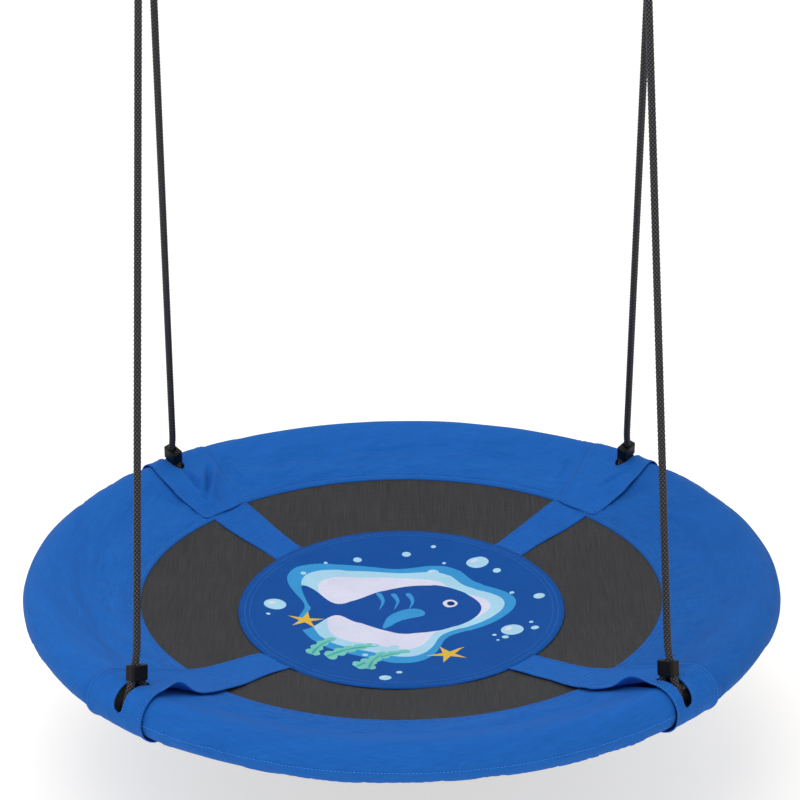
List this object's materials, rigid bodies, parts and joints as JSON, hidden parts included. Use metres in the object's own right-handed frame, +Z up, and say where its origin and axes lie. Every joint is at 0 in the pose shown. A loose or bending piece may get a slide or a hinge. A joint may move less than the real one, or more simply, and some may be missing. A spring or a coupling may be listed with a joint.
{
  "type": "saucer nest swing",
  "caption": "Round fabric nest swing with a padded blue rim, sagging dark mat and printed centre, hung by braided ropes from two screw-lock snap hooks.",
  "frame": {"origin": "middle of the hanging line, which joins the insides of the two snap hooks' upper bows", "axes": "+Z up, +X to the right along the hanging line, +Y to the rear; the swing moves fore and aft along Y"},
  "size_m": [1, 1, 1.1842],
  "materials": {
    "steel_tube": "satin galvanised",
    "foam": "closed-cell foam",
    "blue_fabric": "coated woven polyester, fine weave",
    "grey_mesh": "open woven polyester mat",
    "print_fabric": "printed smooth polyester",
    "blue_webbing": "flat woven tape",
    "black_rope": "braided polyethylene rope",
    "black_plastic": "moulded, fine texture",
    "bright_steel": "zinc plated, bright",
    "zinc_steel": "zinc plated, satin",
    "spring_steel": "drawn wire"
  },
  "bodies": {
    "hangers": {"hook_body_left": "bright_steel", "hook_body_right": "bright_steel", "hook_pins": "zinc_steel"},
    "gate_left": {"hook_gate_left": "bright_steel", "hook_spring_left": "spring_steel"},
    "sleeve_left": {"hook_sleeve_left": "zinc_steel"},
    "ring_left": {"ring_left": "bright_steel"},
    "ropes_left": {"rope_left": "black_rope", "rim_clamp_front_left": "black_plastic", "rim_clamp_rear_left": "black_plastic", "eye_clamp_left": "black_plastic"},
    "gate_right": {"hook_gate_right": "bright_steel", "hook_spring_right": "spring_steel"},
    "sleeve_right": {"hook_sleeve_right": "zinc_steel"},
    "ring_right": {"ring_right": "bright_steel"},
    "ropes_right": {"rope_right": "black_rope", "rim_clamp_front_right": "black_plastic", "rim_clamp_rear_right": "black_plastic", "eye_clamp_right": "black_plastic"},
    "seat": {"frame_tube_front": "steel_tube", "foam_front": "foam", "cover_front": "blue_fabric", "frame_tube_right": "steel_tube", "foam_right": "foam", "cover_right": "blue_fabric", "frame_tube_rear": "steel_tube", "foam_rear": "foam", "cover_rear": "blue_fabric", "frame_tube_left": "steel_tube", "foam_left": "foam", "cover_left": "blue_fabric", "flap_front_left": "blue_fabric", "flap_front_right": "blue_fabric", "flap_rear_right": "blue_fabric", "flap_rear_left": "blue_fabric", "seat_mat": "grey_mesh", "strap_under": "blue_webbing", "strap_over": "blue_webbing", "centre_panel": "print_fabric", "joint_bolts": "zinc_steel", "flat_washers": "zinc_steel", "spring_washers": "zinc_steel", "hex_nuts": "zinc_steel"}
  },
  "joints": [
    {"name": "swing", "type": "hinge", "parent": "hangers", "child": "ring_left", "pos_m": [-0.304, 0, -0.068], "axis": [1, 0, 0], "range_deg": [-50, 50]},
    {"name": "right_ring_swing", "type": "hinge", "parent": "hangers", "child": "ring_right", "pos_m": [0.304, 0, -0.068], "axis": [1, 0, 0], "range_deg": [-50, 50]},
    {"name": "sway", "type": "hinge", "parent": "ring_left", "child": "ropes_left", "pos_m": [-0.304, 0, -0.1078], "axis": [0, 1, 0], "range_deg": [-6, 6]},
    {"name": "seat_tilt", "type": "hinge", "parent": "ropes_left", "child": "seat", "pos_m": [-0.32559, 0, -1.12], "axis": [0, 1, 0], "range_deg": [-6, 6]},
    {"name": "right_rope_sway", "type": "hinge", "parent": "seat", "child": "ropes_right", "pos_m": [0.32559, 0, -1.12], "axis": [0, 1, 0], "range_deg": [-6, 6]},
    {"name": "gate_left", "type": "hinge", "parent": "hangers", "child": "gate_left", "pos_m": [-0.29243, 0, -0.04448], "axis": [0, -1, 0], "range_deg": [0, 22], "stiffness_Nm_per_rad": 0.02, "springref_deg": -28.65},
    {"name": "sleeve_left", "type": "slide", "parent": "gate_left", "child": "sleeve_left", "axis": [0.1398, 0, 0.9902], "range_m": [0, 0.006]},
    {"name": "gate_right", "type": "hinge", "parent": "hangers", "child": "gate_right", "pos_m": [0.31557, 0, -0.04448], "axis": [0, -1, 0], "range_deg": [0, 22], "stiffness_Nm_per_rad": 0.02, "springref_deg": -28.65},
    {"name": "sleeve_right", "type": "slide", "parent": "gate_right", "child": "sleeve_right", "axis": [0.1398, 0, 0.9902], "range_m": [0, 0.006]}
  ],
  "couplings": [
    {"joint": "right_ring_swing", "follows": "swing", "ratio": 1},
    {"joint": "seat_tilt", "follows": "sway", "ratio": -0.9337},
    {"joint": "right_rope_sway", "follows": "sway", "ratio": 0.9337}
  ]
}
